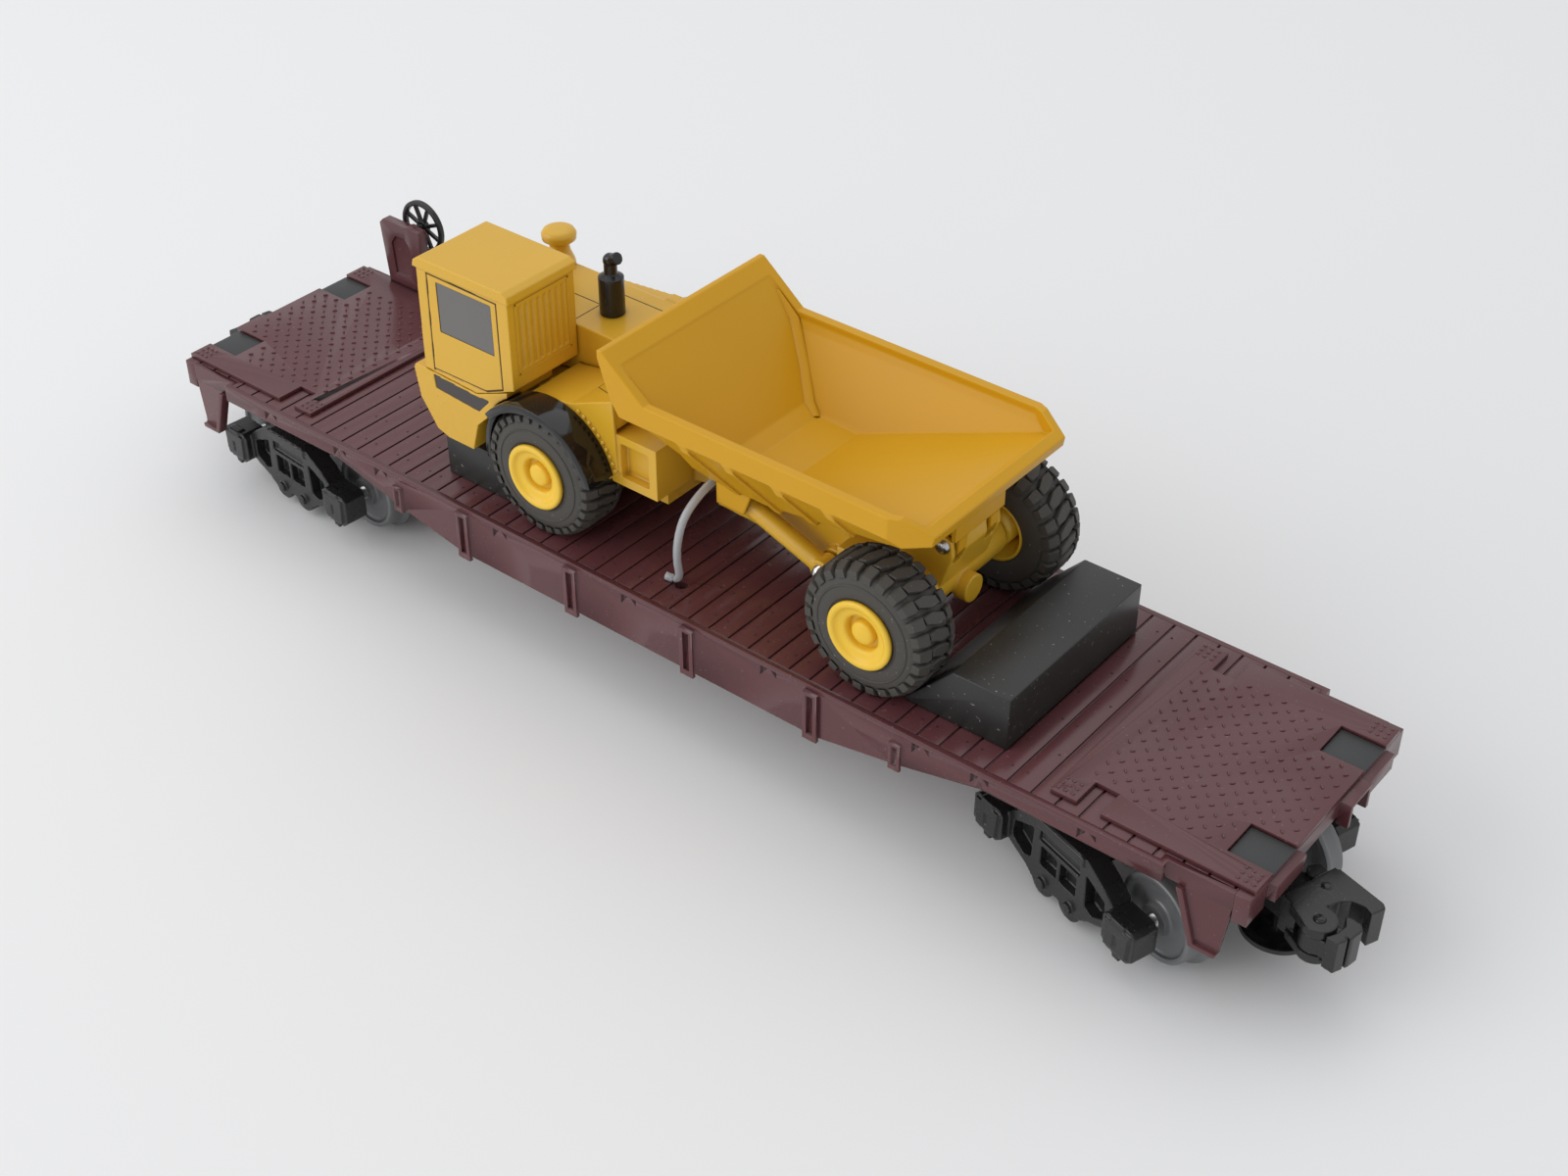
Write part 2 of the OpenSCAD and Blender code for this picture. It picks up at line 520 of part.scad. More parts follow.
module truck_front_frame() color(yellow) difference() {
    union() {
        side_prism([[-59, 46], [-50, 42.6], [-2.6, 42.6], [-2.6, 55.6], [-10, 60], [-34, 60], [-34, 57.3],
                    [-59, 57.3]], -belly_y, belly_y);
        both_sides() {
            side_prism(concat(cowl, [[-14, 46], [-34, 46]]), arch_y[0], arch_y[1]);
            block([-12, belly_y - 4, 47.6], [0, arch_y[0] + 0.2, 59.4]);
        }
        side_prism(nose, -nose_y, -12);
        side_prism(nose, hood_low_y + 0.1, nose_y);
        side_prism(ramp, -arch_y[1], hood_y[0] - 0.1);
        side_prism(ramp, hood_y[1] + 0.1, arch_y[1]);
        side_prism(far_deck, hood_low_y + 0.1, nose_y);
        block([-63.2, -12.5, 47], [-58, hood_low_y + 0.2, 57.2]);
        for (z = [44, 51.4]) translate([0, 0, z]) linear_extrude(2.6)
            polygon([[-5, -7], [4.4, -4], [4.4, 4], [-5, 7]]);
    }
    both_sides() {
        bar_y(front_axle_x, wheel_z, arch_r + 0.1, arch_y[1], 30);
        bar_y(front_axle_x, wheel_z, well_r, belly_y + 0.01, arch_y[1] + 0.01);
        block([-9.4, 18.6, 49.6], [-2, 21, 57.6]);
        side_prism(belt, 24.5, 26);
    }
    block([-64, -11, 49.4], [-62.4, 11, 55.4]);
    bar_y(front_axle_x, wheel_z, truck_axle_r + run, -20, 20);
    translate([hitch_x, 0, 40]) cylinder(r = hitch_r, h = 20);
}

// operator's cab: a closed box with sunk panes, door seam and a fluted back
cab_y = [-25, -6];
cab = [[-60, 58], [-59.6, 82.6], [-58.2, 84], [-35.2, 84], [-34, 82.8], [-34, 62], [-40, 59.4], [-45, 57.4]];
roof = [[-60.4, 81.8], [-60, 83.4], [-58.6, 84.4], [-35, 84.4], [-33.6, 83.6], [-33.4, 82]];
door = [[-57.4, 58.2], [-56.9, 81.4], [-37, 81.2], [-37, 61], [-42.4, 58.6]];
pane_z = [68.5, 80];
pane_x = [-54.2, -38.8];
pane_deep = 0.5;
seam = 0.35;
module outline_groove(pts, w) { difference() { polygon(pts); offset(delta = -w) polygon(pts); } }
module truck_cab() color(yellow) difference() {
    union() {
        side_prism(cab, cab_y[0], cab_y[1]);
        side_prism(roof, cab_y[0] - 0.4, cab_y[1] + 0.4);
    }
    translate([0, cab_y[0] + seam, 0]) rotate([90, 0, 0]) linear_extrude(1) outline_groove(door, seam);
    for (y = [cab_y[0] - 0.01, cab_y[1] - pane_deep])
        block([pane_x[0], y, pane_z[0]], [pane_x[1], y + pane_deep + 0.01, pane_z[1]]);
    block([-61, cab_y[0] + 2.5, pane_z[0] - 1], [-59.9 + pane_deep, cab_y[1] - 2.5, pane_z[1]]);
    for (i = [0 : 7]) block([-34.35, cab_y[0] + 3 + i * 1.75, 66], [-33, cab_y[0] + 3.9 + i * 1.75, 80]);
}
module cab_windows() color("#3a3a3c") {
    for (y = [cab_y[0] + 0.15, cab_y[1] - pane_deep])
        block([pane_x[0], y, pane_z[0]], [pane_x[1], y + pane_deep - 0.15, pane_z[1]]);
    block([-59.65, cab_y[0] + 2.5, pane_z[0] - 1], [-59.9 + pane_deep, cab_y[1] - 2.5, pane_z[1]]);
}

// dark belt below the door, laid in the recess of the nose
module cab_belt_panel() color("#33302f") both_sides()
    side_prism(belt, 24.5, 25);

// engine hood with a stepped far edge and seams on its top
hood_z = 69;
module engine_hood() color(yellow) difference() {
    union() {
        side_prism([[-59, 57.4], [-60.4, 63], [-59, hood_z - 1], [-57.6, hood_z], [-11, hood_z], [-9.6, 67.6],
                    [-9.6, 60.05], [-34.05, 60.05], [-34.05, 57.4]], hood_y[0], hood_low_y);
        side_prism([[-26.6, 60.05], [-26.6, hood_z + 0.5], [-11, hood_z + 0.5], [-9.6, 68], [-9.6, 60.05]],
                   hood_low_y - 0.01, hood_y[1]);
    }
    for (x = [-36, -22]) block([x, hood_y[0] - 2, hood_z - 0.3], [x + 0.35, 9, hood_z + 1]);
    block([-36, 9, hood_z - 0.3], [-21.65, 9.35, hood_z + 1]);
    block([-48, 3, hood_z - 0.3], [-36, 3.35, hood_z + 1]);
}

// mushroom air cleaner with a flared foot
module air_cleaner() color(yellow) translate([-54.6, 11, hood_z]) rotate_extrude($fn = 64)
    polygon([[0, 0], [3.4, 0], [3.2, 1], [2.3, 3.2], [2.1, 5], [2.9, 5.4], [3.7, 6], [3.8, 7.2], [3.3, 8],
             [2.4, 8.4], [0, 8.5]]);

// exhaust: silencer, reducer and a tail bent towards the rear
stack_r = 2.7;
tail_r = 1.4;
tail_z = 12.2;
module exhaust_stack() color(satin_black) translate([-31.7, 2.4, hood_z]) {
    rotate_extrude($fn = 64)
        polygon([[0, 0], [stack_r, 0], [stack_r, 8.4], [tail_r, 9.2], [tail_r, tail_z], [0, tail_z]]);
    translate([0, 0, tail_z - 0.1]) sphere(r = tail_r + 0.15, $fn = 32);
    translate([0, 0, tail_z - 0.1]) rotate([0, 62, 0]) cylinder(r = tail_r - 0.1, h = 2.5);
}

// black mudguards over the front wheels
fender_span = [14, 140];
fender_y = [arch_y[1], 28.2];
// the narrower liner in the nose goes on down to this angle
liner_end = 190;
function arc(r, a0, a1, n) = [for (i = [0 : n]) let (a = a0 + (a1 - a0) * i / n)
    [front_axle_x + r * cos(a), wheel_z + r * sin(a)]];
module front_fenders() color(satin_black) both_sides() {
    side_prism(concat(arc(fender_r[0], fender_span[0], fender_span[1], 14),
                      arc(fender_r[1], fender_span[1], fender_span[0], 14)), fender_y[0], fender_y[1]);
    side_prism(concat(arc(fender_r[0] - 0.4, fender_span[0], fender_span[1], 14),
                      arc(fender_r[0] + 0.01, fender_span[1], fender_span[0], 14)), 27.3, fender_y[1]);
    side_prism(concat(arc(fender_r[0], fender_span[1] - 1, liner_end, 6),
                      arc(fender_r[1], liner_end, fender_span[1] - 1, 6)), fender_y[0], nose_y - 0.1);
}

module hitch_pin() color("silver") translate([hitch_x, 0, 43.4]) {
    cylinder(r = hitch_r, h = 11.4);
    translate([0, 0, 11.4]) cylinder(r = 3, h = 0.9);
}

// rear half: box beam, hitch tongue, ears for the bed, axle casing and tail boss
beam_y = 8;
bed_pivot = [60, 57];
bed_pin_r = 1.4;
hoist_low = [36, 43.4];
hoist_high = [14, 51.2];
hoist_y = 12.4;
hoist_pin_r = 1.3;
module truck_rear_frame() color(yellow) difference() {
    union() {
        side_prism([[5, 42.4], [5, 51.6], [16, 51.6], [22, 52.4], [50, 58], [58.6, 59.4], [61.8, 58.6],
                    [62.2, 55], [59.6, 47], [58, 41.4], [48, 40.6]], -beam_y, beam_y);
        block([-2.5, -5, 46.8], [6, 5, 51.2]);
        bar_y(rear_axle_x, wheel_z, 4.4, -14.6, 14.6);
        block([40, -belly_y + 0.4, 47.4], [51.4, belly_y - 0.4, 51.4]);
        translate([59.4, 0, 43.6]) rotate([0, 90, 0]) cylinder(r = 3, h = 3);
        bar_y(hoist_low[0], hoist_low[1], 2.8, -9.8, 9.8);
    }
    translate([hitch_x, 0, 40]) cylinder(r = hitch_r, h = 20);
    for (y = [-1, 1]) translate([0, y * 5.2, 0]) block([48, -1.6, 52.6], [70, 1.6, 70]);
    bar_y(rear_axle_x, wheel_z, truck_axle_r + run, -20, 20);
    bar_y(bed_pivot[0], bed_pivot[1], bed_pin_r, -20, 20);
    bar_y(hoist_low[0], hoist_low[1], hoist_pin_r, -20, 20);
}

// truck wheels: t is "front" or "rear"
module truck_axle(x) color("silver") bar_y(x, wheel_z, truck_axle_r, -23.8, 23.8);
wall_in = tyre_y - tyre_w;
hub_profile = [
    [truck_axle_r, wall_in + 0.6], [4, wall_in + 0.6], [4, tyre_y - 5], [6.4, wall_in + 0.4],
    [7, wall_in + 0.4], [7, tyre_y - 0.4], [7.3, tyre_y + 0.1], [7.3, tyre_y + 0.7], [6.9, tyre_y + 1],
    [6.1, tyre_y + 0.9], [5.6, tyre_y + 0.2], [3.9, tyre_y - 0.3], [3.6, tyre_y - 1.7], [2.6, tyre_y - 1.7],
    [2.4, tyre_y - 0.4], [1.6, tyre_y], [0, tyre_y], [0, tyre_y - 3.2], [truck_axle_r, tyre_y - 3.2]
];
module truck_hubs(x) color(yellow) translate([x, 0, wheel_z])
    for (a = [-90, 90]) rotate([a, 0, 0]) rotate_extrude($fn = 64) polygon(hub_profile);
tyre_profile = [
    [7, wall_in + 0.4], [8.4, wall_in], [12.2, wall_in + 0.3], [13.7, wall_in + 1.2],
    [tyre_r, wall_in + 2.6], [tyre_r, tyre_y - 2.6], [13.7, tyre_y - 1.2], [12.2, tyre_y - 0.3],
    [8.4, tyre_y], [7, tyre_y - 0.4]
];
module truck_tyres(x) color("#2d2e30") translate([x, 0, wheel_z])
    for (a = [-90, 90]) rotate([a, 0, 0]) rotate_extrude($fn = 96) polygon(tyre_profile);

// dump bed: tub cut from three outlines, rim rail, slanting stakes, pivot lugs and ram cheeks
bed_side = [
    [-10.6, 80.5], [-10.6, 78.6], [-7.8, 70.5], [-5.4, 66.9], [1.6, 66.9], [6.2, 61.6], [6.5, 57], [10, 55],
    [24, 54.6], [62, 66], [66.6, 67.2], [67, 69.3], [61, rail_z], [1, rail_z], [-9.4, 80.5]
];
bed_hollow_side = [
    [-7.4, 82], [-6.2, 77.6], [10.4, 58.4], [14, 56.6], [24, 56.4], [62.6, 68.4], [64.6, 69.4],
    [64.6, 90], [-7.4, 90]
];
bed_half = 24.7;
bed_rear_half = 21.2;
function mirrored(half) = concat(half, [for (i = [len(half) - 1 : -1 : 0]) [-half[i][0], half[i][1]]]);
bed_section = mirrored([[bed_half, 95], [bed_half, 67.4], [23.6, 66], [15.4, 54], [15.4, 50]]);
bed_hollow_section = mirrored([
    [bed_half - 2, 95], [bed_half - 2, 70.6], [bed_half - 2.8, 69], [13.6, 56.8], [10.6, 55]]);
stake_section = mirrored([[bed_half, 67.6], [bed_half, 67.2], [24.3, 65.6], [16.2, 54], [16.2, 53.6]]);
stakes = [9, 20, 32, 43.9];
stake_w = 2.2;
// room between a ram and each of the two cheeks that hold its rod eye, and their thickness
cheek_gap = 2.45;
cheek_t = 0.7;
// half width of the cover over the hinge at the back
casing_y = 8;
module bed_plan(out) linear_extrude(100) polygon([
    [-20, -40], [59, -40], [59, -bed_half - out], [67, -bed_rear_half - out],
    [67, bed_rear_half + out], [59, bed_half + out], [59, 40], [-20, 40]]);
module dump_bed() color(yellow) difference() {
    union() {
        intersection() {
            side_prism(bed_side, -30, 30);
            cross_prism(bed_section, -20, 80);
            bed_plan(0);
        }
        both_sides() for (x = stakes) intersection() {
            side_prism([[x, 67.5], [x + stake_w, 67.5], [x + stake_w + 7, 55], [x + 7, 55]], 12, 30);
            side_prism([[0, 67.5], [62, 67.5], [62, 65.4], [24, 54], [0, 54]], 12, 30);
            cross_prism(stake_section, -20, 80);
        }
        for (y = [-1, 1]) translate([0, y * 5.2, 0]) side_prism([
            [50, 63], [bed_pivot[0] - 2.6, bed_pivot[1] - 1],
            [bed_pivot[0] - 1.6, bed_pivot[1] - 2.6], [bed_pivot[0] + 1.6, bed_pivot[1] - 2.6],
            [bed_pivot[0] + 2.6, bed_pivot[1] - 1], [bed_pivot[0] + 2.8, 66.4]], -1.3, 1.3);
        block([bed_pivot[0] + 1.8, -casing_y, bed_pivot[1] + 1.9],
              [bed_pivot[0] + 2.8, casing_y, bed_pivot[1] + 10]);
        both_sides() for (y = [hoist_y - cheek_gap - cheek_t, hoist_y + cheek_gap])
            side_prism([[hoist_high[0] - 3, 49.6], [hoist_high[0] + 4, 49.6],
                        [hoist_high[0] + 6, 55], [hoist_high[0] - 3, 55]], y, y + cheek_t);
    }
    intersection() {
        side_prism(bed_hollow_side, -30, 30);
        cross_prism(bed_hollow_section, -20, 80);
        bed_plan(-2);
    }
    bar_y(bed_pivot[0], bed_pivot[1], bed_pin_r + run, -20, 20);
}
module bed_hinge_pin() color("silver")
    bar_y(bed_pivot[0], bed_pivot[1], bed_pin_r, -beam_y - 0.6, beam_y + 0.6);

module hoist_pins() color("silver") bar_y(hoist_low[0], hoist_low[1], hoist_pin_r, -15.2, 15.2);

// hoist rams, drawn along their own line from the lower pin to the bed
ram_vec = hoist_high - hoist_low;
ram_len = norm(ram_vec);
ram_tilt = atan2(ram_vec[1], -ram_vec[0]);
barrel_l = ram_len - 2.6;
rod_start = 2.2;
rod_r = 1;
module along_ram() {
    translate([hoist_low[0], 0, hoist_low[1]]) rotate([0, ram_tilt - 90, 0]) children();
}
module hoist_barrels() color(yellow) {
    along_ram() for (s = [-1, 1]) translate([0, s * hoist_y, 0]) difference() {
        union() {
            cylinder(r = 2.05, h = barrel_l - 1.5);
            bar_y(0, 0, 2.5, -1.85, 1.85);
            translate([0, 0, barrel_l - 1.6]) cylinder(r = 2.15, h = 1.6);
        }
        bar_y(0, 0, hoist_pin_r + run, -5, 5);
        translate([0, 0, rod_start - 0.2]) cylinder(r = rod_r + run, h = 40);
    }
}
module hoist_rods() color("silver") along_ram() for (s = [-1, 1]) translate([0, s * hoist_y, 0]) {
    translate([0, 0, rod_start]) cylinder(r = rod_r, h = ram_len - rod_start);
    translate([0, 0, ram_len]) bar_y(0, 0, 1.5, -1.1, 1.1);
    translate([0, 0, ram_len]) bar_y(0, 0, 0.7, -1.5, 1.5);
}

deck();
tread_plate(-1);  // tread_plate_left
tread_plate(1);  // tread_plate_right
side_sill();  // side_sill_near
mirror([0, 1, 0]) side_sill();  // side_sill_far
end_beam(-1);  // end_beam_left
end_beam(1);  // end_beam_right
corner_steps();
corner_pads();
centre_sill();
body_bolsters();
kingpins();
brake_stand();
brake_wheel();
wheel_chock_front();
wheel_chock_rear();
tie_strap();
bogie_frame(-1);  // bogie_frame_left
sideframe(-1, 1);  // sideframe_near_left
sideframe(-1, -1);  // sideframe_far_left
axle(-1, 1);  // axle_outer_left
wheels(-1, 1);  // wheels_outer_left
axle(-1, -1);  // axle_inner_left
wheels(-1, -1);  // wheels_inner_left
coupler(-1);  // coupler_left
knuckle(-1);  // knuckle_left
knuckle_pin(-1);  // knuckle_pin_left
uncoupling_disc(-1);  // uncoupling_disc_left
bogie_frame(1);  // bogie_frame_right
sideframe(1, -1);  // sideframe_near_right
sideframe(1, 1);  // sideframe_far_right
axle(1, 1);  // axle_outer_right
wheels(1, 1);  // wheels_outer_right
axle(1, -1);  // axle_inner_right
wheels(1, -1);  // wheels_inner_right
coupler(1);  // coupler_right
knuckle(1);  // knuckle_right
knuckle_pin(1);  // knuckle_pin_right
uncoupling_disc(1);  // uncoupling_disc_right
truck_front_frame();
truck_cab();
cab_windows();
cab_belt_panel();
engine_hood();
air_cleaner();
exhaust_stack();
front_fenders();
hitch_pin();
truck_rear_frame();
truck_axle(front_axle_x);  // truck_axle_front
truck_hubs(front_axle_x);  // truck_hubs_front
truck_tyres(front_axle_x);  // truck_tyres_front
truck_axle(rear_axle_x);  // truck_axle_rear
truck_hubs(rear_axle_x);  // truck_hubs_rear
truck_tyres(rear_axle_x);  // truck_tyres_rear
dump_bed();
bed_hinge_pin();
hoist_pins();
hoist_barrels();
hoist_rods();
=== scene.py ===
"""Model flat car with a dump truck load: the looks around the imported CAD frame."""
import bpy
import bmesh
import json
import math
from mathutils import Matrix, Vector


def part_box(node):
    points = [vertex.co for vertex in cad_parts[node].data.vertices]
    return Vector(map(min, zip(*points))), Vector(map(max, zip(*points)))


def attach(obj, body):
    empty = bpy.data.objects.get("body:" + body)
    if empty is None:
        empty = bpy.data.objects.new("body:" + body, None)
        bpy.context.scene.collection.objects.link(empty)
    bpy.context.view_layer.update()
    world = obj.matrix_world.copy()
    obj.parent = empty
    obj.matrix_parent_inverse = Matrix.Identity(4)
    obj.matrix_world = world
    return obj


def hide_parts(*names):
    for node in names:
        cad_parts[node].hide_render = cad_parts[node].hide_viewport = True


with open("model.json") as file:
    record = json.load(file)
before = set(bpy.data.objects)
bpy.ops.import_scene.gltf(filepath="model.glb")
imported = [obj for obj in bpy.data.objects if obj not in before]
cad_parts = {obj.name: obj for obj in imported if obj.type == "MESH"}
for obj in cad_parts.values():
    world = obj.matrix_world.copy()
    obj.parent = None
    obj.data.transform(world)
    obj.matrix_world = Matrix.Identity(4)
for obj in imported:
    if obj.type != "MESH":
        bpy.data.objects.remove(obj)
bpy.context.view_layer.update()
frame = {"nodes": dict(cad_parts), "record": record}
record = frame["record"]
MM = 0.001

BODY_OF = {node: body for body, nodes in record["behaviour"]["bodies"].items() for node in nodes}
SIDES = ("left", "right")


# ------------------------------------------------------------------ small helpers

def low_high(node):
    """A CAD node's lowest and highest corner, in millimetres."""
    low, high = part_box(node)
    return Vector(low) / MM, Vector(high) / MM


def piece(name, mesh, material, body):
    """A new object that rides on a body, in the CAD frame."""
    thing = bpy.data.objects.new(name, mesh)
    bpy.context.scene.collection.objects.link(thing)
    mesh.materials.clear()
    mesh.materials.append(material)
    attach(thing, body)
    return thing


def mesh_from(name, points, faces):
    """A mesh from points in millimetres."""
    mesh = bpy.data.meshes.new(name)
    mesh.from_pydata([Vector(p) * MM for p in points], [], faces)
    bm = bmesh.new()
    bm.from_mesh(mesh)
    bmesh.ops.recalc_face_normals(bm, faces=bm.faces)
    bm.to_mesh(mesh)
    bm.free()
    return mesh


def smooth(mesh, angle=35):
    """Smooth shading with edges kept sharp above an angle in degrees."""
    mesh.polygons.foreach_set("use_smooth", [True] * len(mesh.polygons))
    mesh.set_sharp_from_angle(angle=math.radians(angle))
    mesh.update()


def apply_modifiers(thing):
    """Replaces a piece's mesh by what its modifiers make of it."""
    graph = bpy.context.evaluated_depsgraph_get()
    done = bpy.data.meshes.new_from_object(thing.evaluated_get(graph), depsgraph=graph)
    thing.modifiers.clear()
    thing.data = done


def copy_of(node, join_flats=True):
    """A node's mesh with its split points welded, and its flat faces joined up unless told otherwise."""
    mesh = frame["nodes"][node].data.copy()
    bm = bmesh.new()
    bm.from_mesh(mesh)
    bmesh.ops.remove_doubles(bm, verts=bm.verts, dist=0.001 * MM)
    if join_flats:
        bmesh.ops.dissolve_limit(bm, angle_limit=math.radians(0.4), verts=bm.verts, edges=bm.edges)
    bm.to_mesh(mesh)
    bm.free()
    return mesh


def dressed(node, material, mesh, tail):
    """A piece that stands for one CAD node."""
    made = piece(node + tail, mesh, material, BODY_OF[node])
    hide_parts(node)
    return made


def crisp(node, material, edge):
    """Moulded look: narrow bevels on the node's sharp edges."""
    made = dressed(node, material, copy_of(node), "_moulded")
    bevel = made.modifiers.new("edges", "BEVEL")
    bevel.width = edge * MM
    bevel.segments = 2
    bevel.limit_method = "ANGLE"
    bevel.angle_limit = math.radians(40)
    bevel.use_clamp_overlap = False
    bevel.miter_outer = "MITER_ARC"
    apply_modifiers(made)
    smooth(made.data, 50)
    return made


def cast(node, material, voxel, rounds, keep):
    """Die-cast look: the node's skin with every edge and corner softly rounded.

    voxel is in millimetres, rounds of smoothing follow, and keep is the share of faces left."""
    made = dressed(node, material, copy_of(node), "_cast")
    skin = made.modifiers.new("skin", "REMESH")
    skin.mode = "VOXEL"
    skin.voxel_size = voxel * MM
    soft = made.modifiers.new("soft", "SMOOTH")
    soft.factor = 0.5
    soft.iterations = rounds
    thin = made.modifiers.new("thin", "DECIMATE")
    thin.ratio = keep
    apply_modifiers(made)
    smooth(made.data, 60)
    return made


def plain(node, material, angle=35):
    """A piece whose CAD surface is already right: only its shading is joined up."""
    made = dressed(node, material, copy_of(node, join_flats=False), "_plain")
    smooth(made.data, angle)
    return made


def open_journals(made, axle, radius, end_gap=0.15, blind=0.4):
    """Moves a remeshed piece's skin off the axle that turns in it, all in millimetres.

    Points around the axle go out to radius, and points facing its end go back to end_gap."""
    points = [v.co.copy() for v in frame["nodes"][axle].data.vertices]
    middle = sum(points, Vector()) / len(points)
    far = max(points, key=lambda p: (p - middle).length) - middle
    half = [p - middle for p in points if (p - middle).dot(far) > 0]
    along = sum(half, Vector()).normalized()
    end = max(p.dot(along) for p in half)
    for vertex in made.data.vertices:
        offset = vertex.co - middle
        t = offset.dot(along)
        out = offset - along * t
        if abs(t) > end + end_gap * MM or out.length >= radius * MM:
            continue
        if abs(t) > end - blind * MM and out.length < 0.8 * radius * MM:
            t = math.copysign(end + end_gap * MM, t)
        else:
            out = out.normalized() * radius * MM
        vertex.co = middle + along * t + out
    made.data.update()


def skin_rings(bm, rings):
    """Joins rings of points into a closed skin, from the lowest ring to the highest."""
    n = len(rings[0])
    for lower, upper in zip(rings, rings[1:]):
        for i in range(n):
            bm.faces.new((lower[i], lower[(i + 1) % n], upper[(i + 1) % n], upper[i]))
    bm.faces.new(rings[-1])
    bm.faces.new(rings[0][::-1])


def join_round(bm, rings):
    """Joins rings that stand one after another round an axle, the last to the first."""
    n = len(rings[0])
    for k, a in enumerate(rings):
        b = rings[(k + 1) % len(rings)]
        for i in range(n):
            j = (i + 1) % n
            bm.faces.new((a[i], a[j], b[j], b[i]))


def lump(bm, centre, half, turn, taper, rise):
    """A tapered raised mark: centre of its foot, half sizes and height, turned about Z.

    Adds to bm in millimetres."""
    spin = Matrix.Rotation(turn, 3, "Z")
    rings = []
    for shrink, z in ((1.0, 0.0), (0.92, 0.6 * rise), (taper, rise)):
        ring = [Vector((half[0] * shrink * math.cos(a), half[1] * shrink * math.sin(a), z))
                for a in (i * math.pi / 4 for i in range(8))]
        rings.append([bm.verts.new((spin @ p + Vector(centre)) * MM) for p in ring])
    skin_rings(bm, rings)


def from_bmesh(name, bm):
    """A new mesh from bm, which is freed."""
    mesh = bpy.data.meshes.new(name)
    bmesh.ops.recalc_face_normals(bm, faces=bm.faces)
    bm.to_mesh(mesh)
    bm.free()
    return mesh


# ------------------------------------------------------------------ materials

def node_of(tree, kind, **values):
    """A new shader node: in_Some_Name sets the socket called Some Name, anything else a property."""
    node = tree.nodes.new(kind)
    for key, value in values.items():
        if key.startswith("in_"):
            node.inputs[key[3:].replace("_", " ")].default_value = value
        else:
            setattr(node, key, value)
    return node


